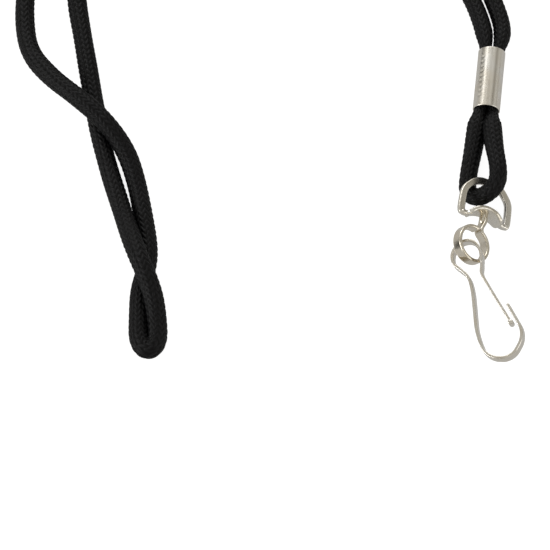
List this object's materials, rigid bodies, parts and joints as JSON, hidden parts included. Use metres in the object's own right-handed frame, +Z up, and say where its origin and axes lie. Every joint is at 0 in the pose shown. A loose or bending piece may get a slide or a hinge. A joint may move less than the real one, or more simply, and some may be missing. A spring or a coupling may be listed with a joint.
{
  "type": "lanyard",
  "caption": "Neck lanyard of round braided cord, crimped to a small loop that carries a bow, a swivel eye and a spring-gate snap hook.",
  "frame": {"origin": "bottom centre of the box round the crimp and the metal hardware, on the surface that the lanyard lies on", "axes": "+Z up from the surface; +Y from the snap hook towards the crimp and the neck loop; +X to the right seen from above"},
  "size_m": [0.1162, 0.1578, 0.0143],
  "materials": {
    "crimp": "nickel plate, satin",
    "cord": "braided black polyester",
    "strap": "woven black strap",
    "bow": "nickel plate, tumbled",
    "swivel_eye": "nickel plate, bright",
    "hook": "nickel plate, bright"
  },
  "bodies": {
    "cord_and_crimp": {"crimp": "crimp", "crimped_strand_left": "cord", "crimped_strand_right": "cord", "hook_loop_cord": "cord", "neck_cord_left_pair": "cord", "neck_cord_right_inner": "cord", "neck_cord_right_outer": "cord", "neck_cord_coil": "cord", "coil_tie": "strap"},
    "bow": {"bow": "bow"},
    "swivel": {"swivel_eye": "swivel_eye"},
    "hook": {"hook_body": "hook"},
    "gate": {"gate": "hook"}
  },
  "joints": [
    {"name": "bow_swing", "type": "hinge", "parent": "cord_and_crimp", "child": "bow", "pos_m": [0.00152, 0.00529, 0.00325], "axis": [-0.8894, 0.1782, 0.421], "range_deg": [0, 40]},
    {"name": "swivel_turn", "type": "hinge", "parent": "bow", "child": "swivel", "pos_m": [0, -0.0043, 0.0041], "axis": [-0.1558, -0.9839, 0.0872], "continuous": true},
    {"name": "hook_rock", "type": "hinge", "parent": "swivel", "child": "hook", "pos_m": [-0.00366, -0.01529, 0.00658], "axis": [-0.309, 0, 0.9511], "range_deg": [-20, 20]},
    {"name": "gate_press", "type": "hinge", "parent": "hook", "child": "gate", "pos_m": [-0.00078, -0.0166, 0.00734], "axis": [0.309, 0, -0.9511], "range_deg": [0, 20], "stiffness_Nm_per_rad": 0.08}
  ]
}
